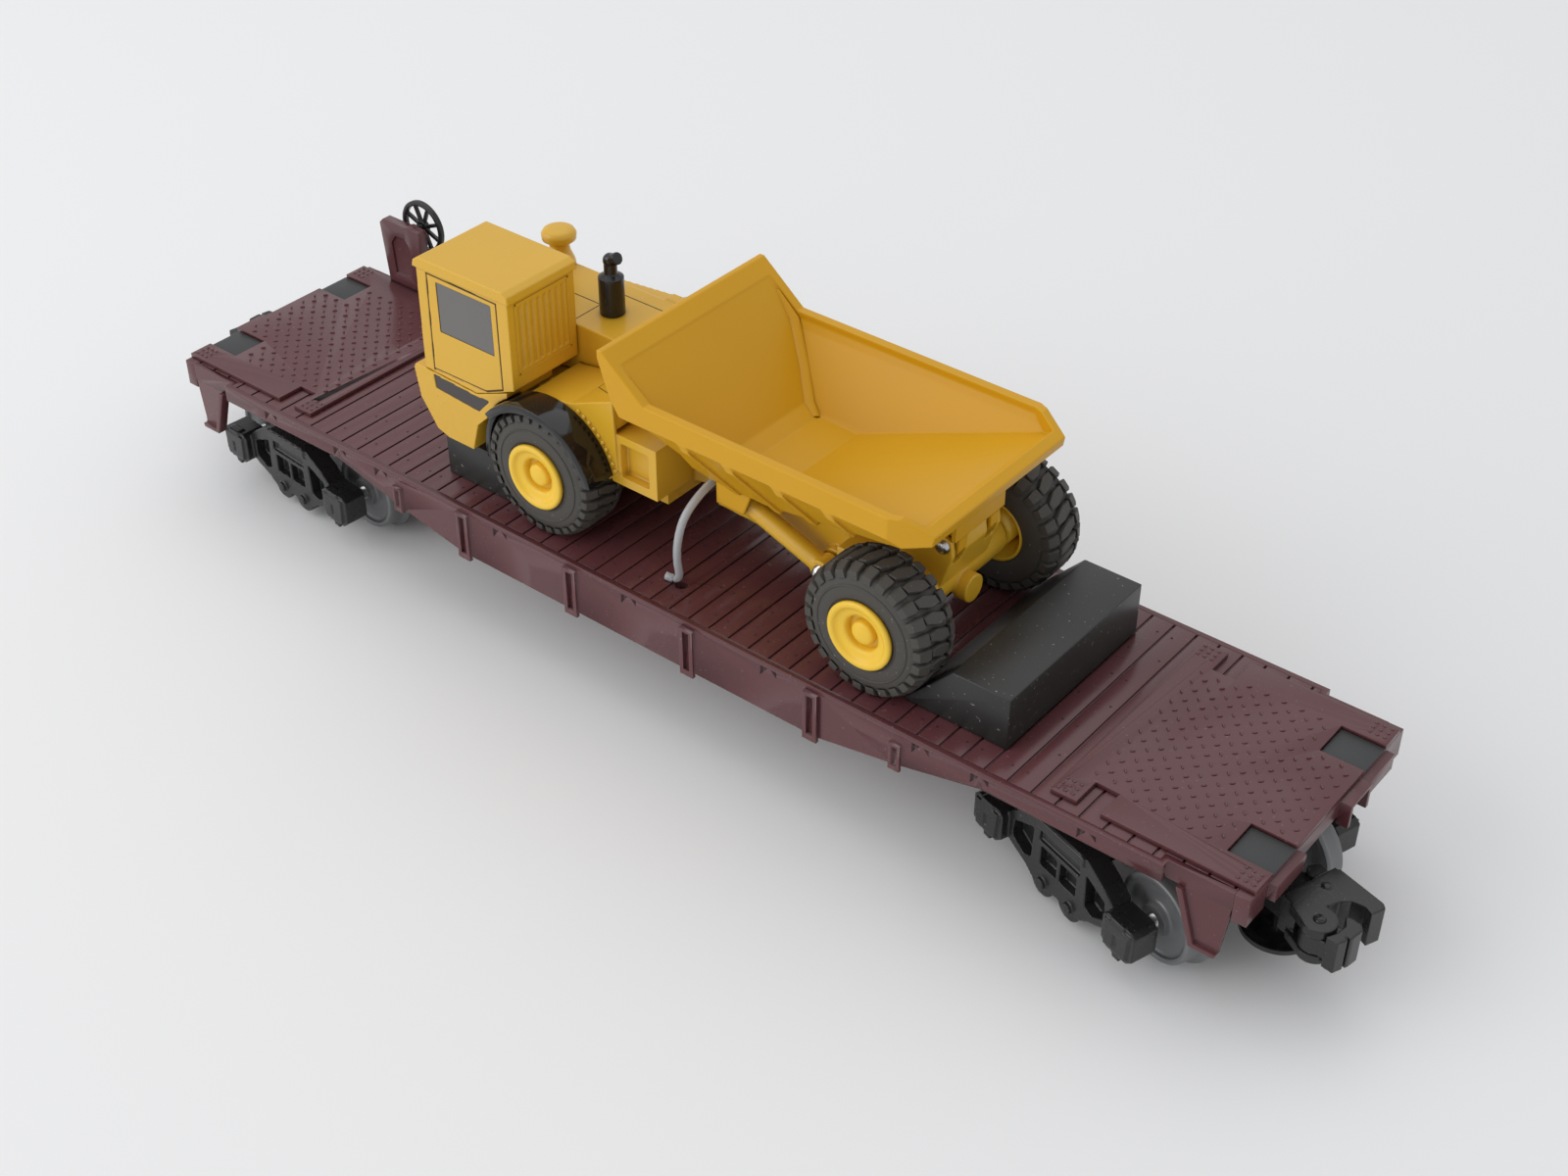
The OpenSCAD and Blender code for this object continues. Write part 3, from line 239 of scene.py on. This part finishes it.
def material(name, colour, second, rough, bump=0.02, grain=900.0, patch=60.0, edge=None, dust=0.0,
             corner_shade=None, coat=0.0, metal=0.0, specular=0.5, spread=0.12):
    """Procedural finish: patchy colour, fine grain, edges lightened partly as wear and partly as a painted
    highlight, painted shade darkening corners and creases, and specks of dust.

    bump is in millimetres. edge is (colour, radius in millimetres, strength), and the painted shade in
    corners is given as (colour, reach)."""
    made = bpy.data.materials.new(name)
    made.use_nodes = True
    tree = made.node_tree
    link = tree.links.new
    shader = tree.nodes["Principled BSDF"]
    shader.inputs["Metallic"].default_value = metal
    shader.inputs["Specular IOR Level"].default_value = specular
    shader.inputs["Coat Weight"].default_value = coat
    shader.inputs["Coat Roughness"].default_value = 0.08
    place = node_of(tree, "ShaderNodeTexCoord").outputs["Object"]

    broad = node_of(tree, "ShaderNodeTexNoise", in_Scale=patch, in_Detail=4.0)
    link(place, broad.inputs["Vector"])
    blend = node_of(tree, "ShaderNodeMix", data_type="RGBA")
    blend.inputs["A"].default_value = (*colour, 1)
    blend.inputs["B"].default_value = (*second, 1)
    link(broad.outputs["Fac"], blend.inputs["Factor"])
    paint = blend.outputs["Result"]

    # Painted shade: the colour darkens towards the corner colour where the occlusion node finds corners,
    # creases and recesses.
    if corner_shade:
        corner = node_of(tree, "ShaderNodeAmbientOcclusion", samples=6, in_Distance=corner_shade[1] * MM)
        deep = node_of(tree, "ShaderNodeMapRange", in_From_Min=0.25, in_From_Max=0.85)
        link(corner.outputs["AO"], deep.inputs["Value"])
        painted_shade = node_of(tree, "ShaderNodeMix", data_type="RGBA")
        painted_shade.inputs["A"].default_value = (*corner_shade[0], 1)
        link(deep.outputs["Result"], painted_shade.inputs["Factor"])
        link(paint, painted_shade.inputs["B"])
        paint = painted_shade.outputs["Result"]

    # Edges lighten towards the edge colour: partly wear, partly a painted highlight along the edges.
    if edge:
        edge_bevel = node_of(tree, "ShaderNodeBevel", samples=4, in_Radius=edge[1] * MM)
        facing = node_of(tree, "ShaderNodeVectorMath", operation="DOT_PRODUCT")
        link(edge_bevel.outputs["Normal"], facing.inputs[0])
        link(node_of(tree, "ShaderNodeNewGeometry").outputs["Normal"], facing.inputs[1])
        sharp = node_of(tree, "ShaderNodeMapRange", in_From_Min=0.97, in_From_Max=0.86, in_To_Max=edge[2])
        link(facing.outputs["Value"], sharp.inputs["Value"])
        edge_wear_and_highlight = node_of(tree, "ShaderNodeMix", data_type="RGBA")
        edge_wear_and_highlight.inputs["B"].default_value = (*edge[0], 1)
        link(sharp.outputs["Result"], edge_wear_and_highlight.inputs["Factor"])
        link(paint, edge_wear_and_highlight.inputs["A"])
        paint = edge_wear_and_highlight.outputs["Result"]

    if dust:
        specks = node_of(tree, "ShaderNodeTexNoise", in_Scale=1400.0, in_Detail=1.0)
        link(place, specks.inputs["Vector"])
        few = node_of(tree, "ShaderNodeMapRange", in_From_Min=0.72, in_From_Max=0.78, in_To_Max=dust)
        link(specks.outputs["Fac"], few.inputs["Value"])
        dusty = node_of(tree, "ShaderNodeMix", data_type="RGBA")
        dusty.inputs["B"].default_value = (0.55, 0.53, 0.5, 1)
        link(few.outputs["Result"], dusty.inputs["Factor"])
        link(paint, dusty.inputs["A"])
        paint = dusty.outputs["Result"]
    link(paint, shader.inputs["Base Color"])

    fine = node_of(tree, "ShaderNodeTexNoise", in_Scale=grain, in_Detail=3.0)
    link(place, fine.inputs["Vector"])
    gloss = node_of(tree, "ShaderNodeMapRange", in_From_Min=0.3, in_From_Max=0.7,
                    in_To_Min=rough * (1 - spread), in_To_Max=rough * (1 + spread))
    link(broad.outputs["Fac"], gloss.inputs["Value"])
    link(gloss.outputs["Result"], shader.inputs["Roughness"])
    relief = node_of(tree, "ShaderNodeBump", in_Strength=0.6, in_Distance=bump * MM)
    link(fine.outputs["Fac"], relief.inputs["Height"])
    link(relief.outputs["Normal"], shader.inputs["Normal"])
    return made


def clear_tie_material():
    """Slightly cloudy clear plastic."""
    made = material("clear_tie", (0.8, 0.82, 0.84), (0.7, 0.72, 0.75), 0.22, bump=0.02)
    shader = made.node_tree.nodes["Principled BSDF"]
    shader.inputs["Transmission Weight"].default_value = 0.55
    shader.inputs["IOR"].default_value = 1.45
    return made


# In these materials the darker corner colours are painted shade in corners and creases, and the lighter edge
# colours are partly wear and partly a painted highlight.
MAROON = material("maroon_plastic", (0.094, 0.029, 0.032), (0.112, 0.037, 0.041), 0.27, bump=0.01,
                  corner_shade=((0.024, 0.007, 0.007), 0.9), edge=((0.2, 0.09, 0.09), 0.2, 0.55), dust=0.12)
PAD = material("pad_rubber", (0.03, 0.031, 0.032), (0.038, 0.039, 0.04), 0.5, bump=0.02, grain=2600)
BLACK = material("satin_black_plastic", (0.009, 0.009, 0.01), (0.013, 0.013, 0.014), 0.24, bump=0.012,
                 edge=((0.09, 0.09, 0.09), 0.15, 0.5), dust=0.1)
FENDER = material("gloss_black_plastic", (0.006, 0.006, 0.007), (0.009, 0.009, 0.01), 0.1, bump=0.004,
                  edge=((0.25, 0.25, 0.26), 0.2, 0.6), dust=0.08)
CHOCK = material("chock_plastic", (0.016, 0.016, 0.015), (0.021, 0.021, 0.02), 0.42, bump=0.03, grain=1700,
                 edge=((0.12, 0.12, 0.12), 0.25, 0.6), dust=0.35)
CAST = material("black_die_cast", (0.012, 0.012, 0.012), (0.02, 0.02, 0.02), 0.28, bump=0.05, grain=1500,
                patch=180, edge=((0.16, 0.16, 0.16), 0.25, 0.45), dust=0.1)
WHEEL = material("blackened_wheel", (0.2, 0.203, 0.206), (0.16, 0.162, 0.165), 0.4, bump=0.015,
                 metal=0.35, edge=((0.35, 0.35, 0.35), 0.2, 0.5))
STEEL = material("plain_steel", (0.6, 0.6, 0.6), (0.5, 0.5, 0.5), 0.28, bump=0.01, metal=1.0)
# Two copies of one yellow enamel: lighter for the lit cab, hood and frames, darker for the dump bed's inside.
# The difference between them is painted light and shade.
YELLOW = material("yellow_enamel", (0.66, 0.375, 0.022), (0.7, 0.405, 0.03), 0.3, bump=0.012, grain=500,
                  corner_shade=((0.33, 0.15, 0.006), 1.4), edge=((0.76, 0.48, 0.08), 0.3, 0.45), coat=0.05)
YELLOW_BED_SHADED = material("yellow_bed_painted_shade", (0.6, 0.31, 0.009), (0.64, 0.335, 0.012), 0.34, bump=0.012,
                      grain=500, corner_shade=((0.33, 0.15, 0.006), 1.2), edge=((0.76, 0.48, 0.08), 0.3, 0.45),
                      specular=0.25)
YELLOW_HUB = material("yellow_plastic", (0.84, 0.53, 0.032), (0.88, 0.56, 0.04), 0.34, bump=0.01,
                      corner_shade=((0.5, 0.24, 0.008), 1.0))
WINDOW = material("window_grey", (0.125, 0.12, 0.115), (0.14, 0.135, 0.128), 0.3, bump=0.006)
BELT = material("belt_dark", (0.04, 0.034, 0.032), (0.05, 0.042, 0.04), 0.4, bump=0.01)
TYRE = material("tyre_rubber", (0.05, 0.046, 0.04), (0.062, 0.056, 0.048), 0.6, bump=0.05, grain=1300,
                corner_shade=((0.012, 0.011, 0.009), 1.0), dust=0.25)
# Painted shade: a darkened yellow for the strips laid along the grooves of door, window, hood and cowl.
GROOVE_SHADE = material("seam_painted_shade", (0.06, 0.035, 0.012), (0.045, 0.027, 0.01), 0.6)
CLEAR = clear_tie_material()


# ------------------------------------------------------------------ driving values read off the frame

DECK_TOP = low_high("corner_pads")[0].z + 1.0
PLANK_Z = DECK_TOP - 1.0
PLATE_IN = low_high("tread_plate_right")[0].x
PLANK_PITCH = 5.05
PAD_X = low_high("corner_pads")[1].x - 9.0
SUNK = 0.02                                # how far small marks stand in what they are on
MARK_PITCH, MARK_RISE = 1.85, 0.3
MARK_HALF = (0.58, 0.25)
MARK_START, MARK_BORDERS = 4.4, 5.8        # from the plate's inner edge, and both borders together
MARK_REACH = 20.5                          # across the plate, from its middle
PAD_INNER_Y, PAD_OUTER_Y = 11.4, 22.4
NOTCH_LENGTH, NOTCH_Y = 11.4, 19.4
STAND_X, STAND_Y = 115.5, 19.5             # the hand brake stand's foot
NAIL_ROWS = (-25.2, -17.5, -8.6, 0.0, 8.6, 17.5, 25.2)
NAIL_SHIFT, NAIL_R, NAIL_RISE = 0.9, 0.27, 0.13
SHOULDER = 1.9                             # where the tyre's crown ends, from its side
COWL_BOLT_R, COWL_BOLT_FROM, COWL_BOLT_STEP = 17.5, 18, 5.2    # millimetres and degrees
TYRE_WIDTH = 11.5
HOOD_TOP = low_high("exhaust_stack")[0].z
CAB_SIDE = low_high("cab_windows")[0].y - 0.15
CAB_BACK = -34.0    # face of the fluted grille
COWL_Y = low_high("front_fenders")[1].y - 7.0
NAIL = material("nail_heads", (0.03, 0.008, 0.01), (0.045, 0.012, 0.014), 0.5)
JOURNAL_R = 1.68    # the axle with a wider gap than in the CAD, for the remeshed side frames

# tread blocks: outlines of (share of a pitch, millimetres across from the middle)
REAR_BLOCK = [(-0.46, -2.7), (0.02, -2.5), (0.42, 0.2), (0.46, 2.7), (-0.02, 2.5), (-0.42, -0.2)]
REAR_SHOULDER = [(-0.36, 3.1), (0.3, 2.9), (0.36, 4.2), (0.32, 5.55), (-0.3, 5.55), (-0.38, 4.2)]
FRONT_BLOCK = [(-0.42, -2.6), (0.0, -2.4), (0.38, 0.2), (0.42, 2.6), (0.0, 2.4), (-0.38, -0.2)]
FRONT_SHOULDER = [(-0.34, 2.9), (0.26, 2.8), (0.34, 4.2), (0.3, 5.55), (-0.3, 5.55), (-0.36, 4.2)]


# ------------------------------------------------------------------ car body

def tread_marks(side):
    """Raised teardrops of one tread plate, alternately turned, clear of its border, pads and notches."""
    low, high = low_high("tread_plate_" + side)
    sign = 1 if side == "right" else -1
    inner, outer = (low.x, high.x) if sign > 0 else (-high.x, -low.x)
    bm = bmesh.new()
    rows = int(MARK_REACH / MARK_PITCH)
    for i in range(int((outer - inner - MARK_BORDERS) / MARK_PITCH) + 1):
        for j in range(-rows, rows + 1):
            x, y = inner + MARK_START + i * MARK_PITCH, j * MARK_PITCH
            by_pad = x > PAD_X - 1.2 and PAD_INNER_Y < abs(y) < PAD_OUTER_Y
            by_notch = x < inner + NOTCH_LENGTH and abs(y) > NOTCH_Y
            by_stand = side == "left" and y > STAND_Y and x > STAND_X
            if (i + j) % 2 or by_pad or by_notch or by_stand:
                continue
            turn = math.radians(45 if i % 2 else -45)
            lump(bm, (sign * x, y, DECK_TOP - SUNK), MARK_HALF, turn * sign, 0.5, MARK_RISE)
    made = piece(f"tread_marks_{side}", from_bmesh("tread_marks", bm), MAROON, "car")
    smooth(made.data, 30)
    return made


def nails():
    """Nail heads: one dot on each plank at each stringer, staggered from plank to plank."""
    bm = bmesh.new()
    each_way = int(PLATE_IN / PLANK_PITCH) - 1
    for i in range(-each_way, each_way + 1):
        x = (i + 0.5) * PLANK_PITCH
        for k, y in enumerate(NAIL_ROWS):
            shift = NAIL_SHIFT if (i + k) % 2 else -NAIL_SHIFT
            lump(bm, (x + shift, y, PLANK_Z - SUNK), (NAIL_R, NAIL_R), 0, 0.6, NAIL_RISE)
    return piece("plank_nails", from_bmesh("plank_nails", bm), NAIL, "car")


# ------------------------------------------------------------------ truck pieces

def tread(node, pitches, block, shoulder, base_drop):
    """Both tyres of an axle: a turned carcass with interlocking blocks and shoulder lugs.

    block and shoulder are outlines of (share of a pitch, place across in millimetres from the middle)."""
    low, high = low_high(node)
    centre = (low + high) / 2
    outer_r = (high.z - low.z) / 2
    middle = high.y - TYRE_WIDTH / 2
    base = outer_r - base_drop
    half = TYRE_WIDTH / 2
    bm = bmesh.new()
    profile = [(7.0, 0.5), (7.25, 0.15), (8.3, 0.0), (9.4, 0.04), (11.2, 0.25), (12.6, 0.75),
               (base - 0.25, 1.25), (base, SHOULDER)]    # (radius, way in from the tyre's side)
    outline = [(r, w - half) for r, w in profile] + [(r, half - w) for r, w in reversed(profile)]
    steps = 96

    def at(side, angle, r, across):
        x, z = centre.x + r * math.cos(angle), centre.z + r * math.sin(angle)
        return Vector((x, side * (middle + across), z)) * MM

    for side in (-1, 1):
        join_round(bm, [[bm.verts.new(at(side, 2 * math.pi * k / steps, r, w)) for r, w in outline]
                        for k in range(steps)])
        for ring_r in (7.9, 10.3):
            rib(bm, at, side, ring_r, half, steps)
        for k in range(pitches):
            for outline_2d, offset, sunk in ((block, 0.0, 0), (shoulder, 0.25, 1),
                                             ([(-a, -w) for a, w in shoulder], 0.75, 1)):
                lug(bm, at, side, k + offset, pitches, outline_2d, outer_r, base, sunk)
    made = dressed(node, TYRE, from_bmesh(node, bm), "_treaded")
    smooth(made.data, 32)
    return made


def rib(bm, at, side, r, half, steps):
    """A fine moulding ring on a sidewall."""
    foot, crest = half - 0.12, half + 0.05
    section = [(r - 0.22, foot), (r - 0.08, crest), (r + 0.08, crest), (r + 0.22, foot)]
    join_round(bm, [[bm.verts.new(at(side, 2 * math.pi * k / steps, radius, w)) for radius, w in section]
                    for k in range(steps)])


def lug(bm, at, side, place, pitches, outline, outer_r, base, shoulder):
    """One tread block: its outline stands on the carcass and narrows towards its top."""
    step = 2 * math.pi / pitches
    mid_a = sum(a for a, _ in outline) / len(outline)
    mid_w = sum(w for _, w in outline) / len(outline)
    rings = []
    for shrink, lift in ((1.04, -0.35), (1.0, 0.8), (0.9, 1.0)):
        ring = []
        for a, w in outline:
            across = mid_w + (w - mid_w) * shrink
            drop = 0.55 * max(0.0, abs(across) - (TYRE_WIDTH / 2 - SHOULDER)) ** 1.2
            r = base + (outer_r - base) * lift - drop
            angle = (place + mid_a + (a - mid_a) * shrink) * step
            ring.append(bm.verts.new(at(side, angle, r, across)))
        rings.append(ring)
    skin_rings(bm, rings)


def strips(name, lines, normal, width, material_used, body, proud=0.02, deep=0.15):
    """Thin strips along runs of points in millimetres, lying on faces with one outward normal."""
    bm = bmesh.new()
    out = Vector(normal).normalized()
    for line in lines:
        for a, b in zip(line, line[1:]):
            a, b = Vector(a), Vector(b)
            along = (b - a).normalized()
            side = along.cross(out).normalized() * width / 2
            ends = (a - along * width / 2, b + along * width / 2)
            low = [bm.verts.new((p + k * side - out * deep) * MM) for p in ends for k in (-1, 1)]
            top = [bm.verts.new((p + k * side * 0.8 + out * proud) * MM) for p in ends for k in (-1, 1)]
            bm.faces.new([top[i] for i in (0, 1, 3, 2)])
            bm.faces.new([low[i] for i in (2, 3, 1, 0)])
            for i, j in ((0, 1), (1, 3), (3, 2), (2, 0)):
                bm.faces.new((low[i], low[j], top[j], top[i]))
    return piece(name, from_bmesh(name, bm), material_used, body)


def cab_lines():
    """Painted shade along the seams of door, window, hood and cowl, as thin dark strips in a darkened yellow,
    and the raised frame round the fluted grille.
    """
    side = CAB_SIDE
    door = [(-57.2, side, 58.6), (-56.7, side, 81.2), (-37.2, side, 81.0), (-37.2, side, 61.2),
            (-41.9, side, 59.1)]
    strips("door_seam_shade", [door + [(-56.9, side, 58.9)]], (0, -1, 0), 0.28, GROOVE_SHADE, "car")
    # Round the pane: partly the window rubber, partly painted shade along its recessed edge.
    pane = [(-54.3, side + 0.1, 80.1), (-38.7, side + 0.1, 80.1), (-38.7, side + 0.1, 68.4),
            (-54.3, side + 0.1, 68.4), (-54.3, side + 0.1, 80.1)]
    strips("window_rubber_and_shade", [pane], (0, -1, 0), 0.3, GROOVE_SHADE, "car", 0.05)
    plan = [[(-35.8, -4.8), (-35.8, 9.2)], [(-21.8, -4.8), (-21.8, 9.2)], [(-35.8, 9.2), (-21.8, 9.2)],
            [(-48, 3.2), (-35.8, 3.2)]]
    hood = [[(x, y, HOOD_TOP) for x, y in line] for line in plan]
    strips("hood_seam_shades", hood, (0, 0, 1), 0.28, GROOVE_SHADE, "car")
    slope = Vector((-5.0, 0, 11.5))
    cowl = [[(-21.6, -7.0, 62.36), (-21.6, -13.3, 62.36), (-13.0, -18.4, 66.1)]]
    strips("cowl_seam_shade", cowl, slope, 0.26, GROOVE_SHADE, "car")
    back = CAB_BACK
    frame_line = [(back, -22.9, 65.2), (back, -22.9, 81.0), (back, -8.0, 81.0), (back, -8.0, 65.2),
                  (back, -22.9, 65.2)]
    strips("grille_frame", [frame_line], (1, 0, 0), 0.5, YELLOW, "car", 0.16)


def cowl_bolts():
    """Flange bolts in an arc over each front mudguard."""
    centre = (low_high("truck_tyres_front")[0] + low_high("truck_tyres_front")[1]) / 2
    for side, name in ((-1, "near"), (1, "far")):
        spots = [(centre.x + COWL_BOLT_R * math.cos(a), side * COWL_Y, centre.z + COWL_BOLT_R * math.sin(a))
                 for a in (math.radians(COWL_BOLT_FROM + COWL_BOLT_STEP * i) for i in range(10))]
        bolt_row("cowl_bolts_" + name, spots, (0, side, 0), 0.5, 0.45, YELLOW, "car")


def bed_details():
    """Weld plates in the two front corners of the bed."""
    corner = [(-4.6, 22.7, 75.2), (0.0, 22.7, 70.5), (1.3, 21.9, 68.9), (6.0, 18.6, 63.5), (10.4, 14.7, 58.4),
              (13.6, 12.9, 56.8)]
    for side, name in ((-1, "near"), (1, "far")):
        points, faces = [], []
        for i, (x, y, z) in enumerate(corner):
            fade = 0.55 if i in (0, len(corner) - 1) else 1.0
            ring = [(x - 0.4, y + 0.5, z - 0.5), (x - 0.1, y - 1.5 * fade, z + 0.1),
                    (x + 0.5 * fade, y - 1.2 * fade, z + 0.5 * fade),
                    (x + 1.4 * fade, y - 0.35 * fade, z + 0.4 * fade), (x + 1.5 * fade, y + 0.4, z - 0.2)]
            points += [(a, side * b, c) for a, b, c in ring]
        n = 5
        for i in range(len(corner) - 1):
            for k in range(n):
                a, b = i * n + k, i * n + (k + 1) % n
                faces.append((a, b, b + n, a + n))
        faces += [tuple(range(n)), tuple(range(len(points) - 1, len(points) - n - 1, -1))]
        mesh = mesh_from("bed_weld", points, faces)
        made = piece("bed_weld_" + name, mesh, YELLOW_BED_SHADED, "dump_bed")
        smooth(made.data, 50)


def bolt_row(name, spots, axis, radius, rise, material_used, body):
    """Small domed bolt heads at spots in millimetres, standing out along axis."""
    bm = bmesh.new()
    turn = Vector((0, 0, 1)).rotation_difference(Vector(axis)).to_matrix()
    for spot in spots:
        rings = []
        for r, z in ((radius, -0.1), (radius, 0.4 * rise), (radius * 0.55, rise)):
            ring = [turn @ Vector((r * math.cos(a), r * math.sin(a), z)) + Vector(spot)
                    for a in (i * math.pi / 5 for i in range(10))]
            rings.append([bm.verts.new(p * MM) for p in ring])
        skin_rings(bm, rings)
    return piece(name, from_bmesh(name, bm), material_used, body)


# ------------------------------------------------------------------ build

def car_body():
    """Floor, sills, plates and fittings of the car, the chocks and the tie."""
    for node in ("deck", "end_beam_left", "end_beam_right", "centre_sill", "body_bolsters", "corner_steps",
                 "brake_stand"):
        crisp(node, MAROON, 0.12)
    for node in ("side_sill_near", "side_sill_far"):
        plain(node, MAROON)
    for side in SIDES:
        crisp("tread_plate_" + side, MAROON, 0.08)
        tread_marks(side)
    nails()
    crisp("corner_pads", PAD, 0.08)
    plain("kingpins", STEEL)
    crisp("brake_wheel", BLACK, 0.1)
    for node in ("wheel_chock_front", "wheel_chock_rear"):
        crisp(node, CHOCK, 0.25)
    plain("tie_strap", CLEAR, 80)


def bogies():
    """Frames, wheelsets and couplers at both ends."""
    for side in SIDES:
        cast("bogie_frame_" + side, CAST, 0.2, 3, 0.5)
        for node in ("sideframe_near_", "sideframe_far_"):
            made = cast(node + side, CAST, 0.2, 3, 0.5)
            for axle in ("axle_outer_", "axle_inner_"):
                open_journals(made, axle + side, JOURNAL_R)
        for node in ("coupler_", "knuckle_"):
            cast(node + side, CAST, 0.16, 4, 0.5)
        plain("knuckle_pin_" + side, CAST)
        plain("uncoupling_disc_" + side, BLACK)
        for axle in ("outer_", "inner_"):
            plain("axle_" + axle + side, STEEL)
            plain("wheels_" + axle + side, WHEEL)


def truck():
    """The dump truck and its small details."""
    for node, voxel in (("truck_front_frame", 0.2), ("truck_rear_frame", 0.22), ("engine_hood", 0.22)):
        cast(node, YELLOW, voxel, 2, 0.35)
    cast("truck_cab", YELLOW, 0.16, 3, 0.3)
    cast("dump_bed", YELLOW_BED_SHADED, 0.2, 2, 0.35)
    cast("hoist_barrels", YELLOW, 0.2, 3, 0.5)
    plain("air_cleaner", YELLOW)
    plain("cab_windows", WINDOW)
    plain("cab_belt_panel", BELT)
    cast("exhaust_stack", BLACK, 0.15, 2, 0.5)
    crisp("front_fenders", FENDER, 0.15)
    cab_lines()
    cowl_bolts()
    bed_details()
    for node in ("hitch_pin", "bed_hinge_pin", "hoist_pins", "hoist_rods", "truck_axle_front",
                 "truck_axle_rear"):
        plain(node, STEEL)
    for axle, block, shoulder, pitches in (("front", FRONT_BLOCK, FRONT_SHOULDER, 30),
                                           ("rear", REAR_BLOCK, REAR_SHOULDER, 26)):
        plain("truck_hubs_" + axle, YELLOW_HUB)
        tread("truck_tyres_" + axle, pitches, block, shoulder, 1.1 if axle == "rear" else 0.9)


# ------------------------------------------------------------------ camera, lights and floor

CAMERA_AZ, CAMERA_EL, CAMERA_ROLL = 38.774, 37.118, 0.0946    # degrees
CAMERA_AT = (243.39, -283.46, 296.68)                         # millimetres
FOCAL_LENGTH, SENSOR_WIDTH = 50.316, 36
FLOOR_HALF, FLOOR_DROP = 4000, 0.02                           # millimetres


def camera():
    """The photo's viewpoint: turned from the far side, tipped down and rolled a little."""
    az, el, roll = (math.radians(a) for a in (CAMERA_AZ, CAMERA_EL, CAMERA_ROLL))
    look = Vector((-math.sin(az) * math.cos(el), math.cos(az) * math.cos(el), -math.sin(el)))
    right = Vector((math.cos(az), math.sin(az), 0))
    up = right.cross(look)
    right, up = right * math.cos(roll) + up * math.sin(roll), up * math.cos(roll) - right * math.sin(roll)
    lens = bpy.data.cameras.new("camera")
    lens.lens = FOCAL_LENGTH
    lens.sensor_width = SENSOR_WIDTH
    lens.clip_start = 0.01
    eye = bpy.data.objects.new("camera", lens)
    bpy.context.scene.collection.objects.link(eye)
    turn = Matrix((right, up, -look)).transposed().to_4x4()
    eye.matrix_world = Matrix.Translation(Vector(CAMERA_AT) * MM) @ turn
    bpy.context.scene.camera = eye


def soft_light(name, place, target, size, power):
    """A rectangular area light at place, aimed at target, in metres and watts."""
    lamp = bpy.data.lights.new(name, "AREA")
    lamp.shape = "RECTANGLE"
    lamp.size, lamp.size_y = size
    lamp.energy = power
    thing = bpy.data.objects.new(name, lamp)
    bpy.context.scene.collection.objects.link(thing)
    thing.location = place
    thing.rotation_euler = (Vector(target) - Vector(place)).to_track_quat("-Z", "Y").to_euler()


def stage():
    """Pale floor, soft studio sky and two wide lights."""
    far = FLOOR_HALF
    corners = [(-far, -far, 0), (far, -far, 0), (far, far, 0), (-far, far, 0)]
    sheet = mesh_from("floor", corners, [(0, 1, 2, 3)])
    floor = bpy.data.objects.new("floor", sheet)
    bpy.context.scene.collection.objects.link(floor)
    floor.location.z = -FLOOR_DROP * MM
    made = bpy.data.materials.new("pale_floor")
    made.use_nodes = True
    shader = made.node_tree.nodes["Principled BSDF"]
    shader.inputs["Base Color"].default_value = (0.83, 0.83, 0.83, 1)
    shader.inputs["Roughness"].default_value = 0.75
    shader.inputs["Specular IOR Level"].default_value = 0.2
    sheet.materials.append(made)
    world = bpy.data.worlds.new("studio")
    bpy.context.scene.world = world
    world.use_nodes = True
    sky = world.node_tree.nodes["Background"]
    sky.inputs["Color"].default_value = (0.97, 0.98, 1.0, 1)
    sky.inputs["Strength"].default_value = 0.72
    soft_light("over", (-0.35, 0.3, 1.2), (0, 0, 0), (1.5, 1.1), 3.0)
    soft_light("front", (-0.7, -0.95, 0.66), (0, 0, 0.03), (1.2, 0.9), 6.8)
    bpy.context.scene.view_settings.view_transform = "Standard"


camera()
stage()
car_body()
bogies()
truck()
